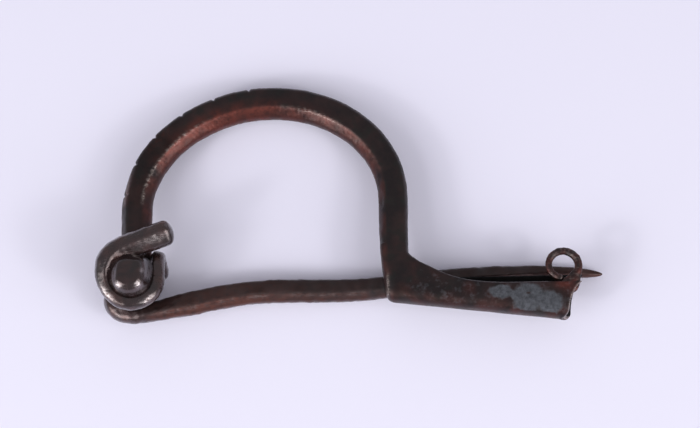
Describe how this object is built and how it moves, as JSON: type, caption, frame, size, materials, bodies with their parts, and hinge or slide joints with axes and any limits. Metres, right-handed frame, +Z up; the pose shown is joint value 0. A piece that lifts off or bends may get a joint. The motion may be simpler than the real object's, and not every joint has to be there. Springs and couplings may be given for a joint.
{
  "type": "fibula brooch",
  "caption": "Bronze bow brooch with an arched bow, a folded catch with a curl, and a coiled spring pin that opens about its rod.",
  "frame": {"origin": "middle of the underside of the box round the brooch as it lies", "axes": "+X along the foot from the spring to the pin's point, +Y up the bow, +Z up from the surface it lies on, out of the side that shows"},
  "size_m": [0.0542, 0.0274, 0.0091],
  "materials": {
    "bow_bronze": "dark brown-black patina, worn bright on the edges",
    "wire_bronze": "dark brown patina with a dull sheen",
    "rod_bronze": "dark, rubbed to a shine"
  },
  "bodies": {
    "bow_body": {"bow": "bow_bronze", "axis_rod": "rod_bronze"},
    "pin_body": {"spring_and_pin": "wire_bronze"}
  },
  "joints": [
    {"name": "pin_opening", "type": "hinge", "parent": "bow_body", "child": "pin_body", "pos_m": [-0.02315, -0.00914, 0.00415], "axis": [-0.0114, -0.1123, -0.9936], "range_deg": [0, 35]}
  ]
}
